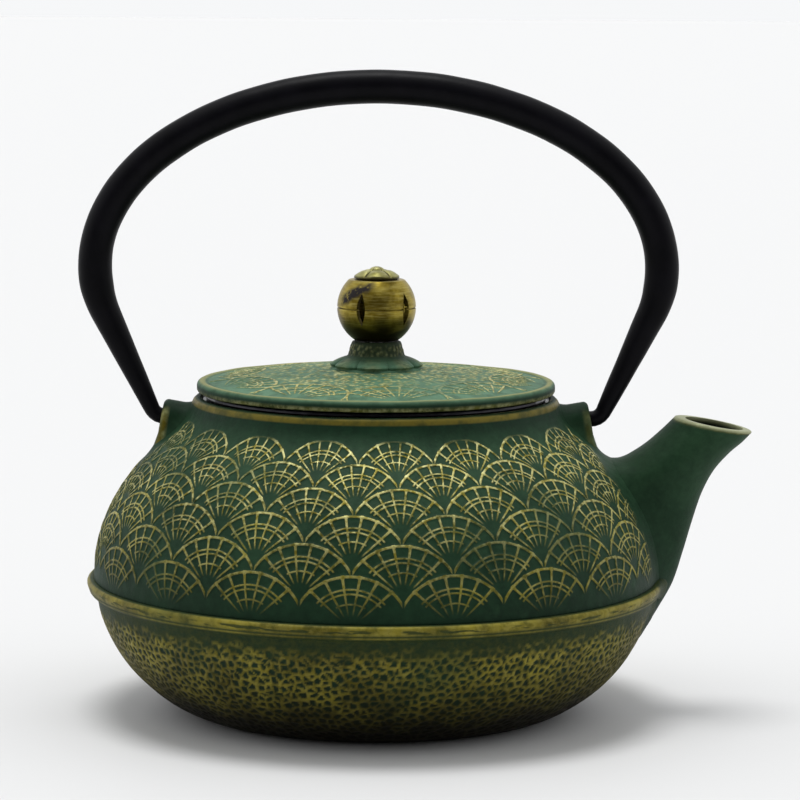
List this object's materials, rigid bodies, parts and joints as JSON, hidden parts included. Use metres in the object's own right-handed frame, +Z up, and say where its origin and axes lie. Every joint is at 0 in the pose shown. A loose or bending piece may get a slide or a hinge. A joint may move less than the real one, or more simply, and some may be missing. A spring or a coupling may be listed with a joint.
{
  "type": "cast iron teapot",
  "caption": "Squat round cast iron teapot with a swinging bail, short upright spout, lift-off lid with a ball knob, and a steel infuser basket.",
  "frame": {"origin": "middle of the flat base, on the surface that the pot stands on", "axes": "+Z up along the pot's axis; +X towards the spout, along the bail's pivot line; +Y to the back when the spout points right"},
  "size_m": [0.1942, 0.166, 0.1842],
  "materials": {
    "green_iron": "matte dark green lacquer over cast relief, with rubbed gold on the raised lines",
    "green_lid_iron": "matte green lacquer over cast relief, with rubbed gold on the raised lines and specks",
    "black_steel": "satin black enamel",
    "aged_gold": "aged gold, darker towards the bottom, with a scuff",
    "stainless_steel": "brushed stainless"
  },
  "bodies": {
    "pot": {"pot_body": "green_iron"},
    "bail": {"bail_handle": "black_steel"},
    "infuser": {"infuser_rim": "stainless_steel", "infuser_wall": "stainless_steel", "infuser_bottom": "stainless_steel", "infuser_bottom_ring": "stainless_steel"},
    "lid": {"lid": "green_lid_iron", "knob_lower_half": "aged_gold", "knob_upper_half": "aged_gold", "knob_cap": "aged_gold", "knob_stud": "stainless_steel", "knob_washer": "stainless_steel", "knob_nut": "stainless_steel"}
  },
  "joints": [
    {"name": "bail_swing", "type": "hinge", "parent": "pot", "child": "bail", "pos_m": [0, 0, 0.0844], "axis": [1, 0, 0], "range_deg": [-110, 110]},
    {"name": "infuser_lift", "type": "slide", "parent": "pot", "child": "infuser", "axis": [0, 0, 1], "range_m": [0, 0.033]},
    {"name": "lid_lift", "type": "slide", "parent": "infuser", "child": "lid", "axis": [0, 0, 1], "range_m": [0, 0.011]}
  ]
}
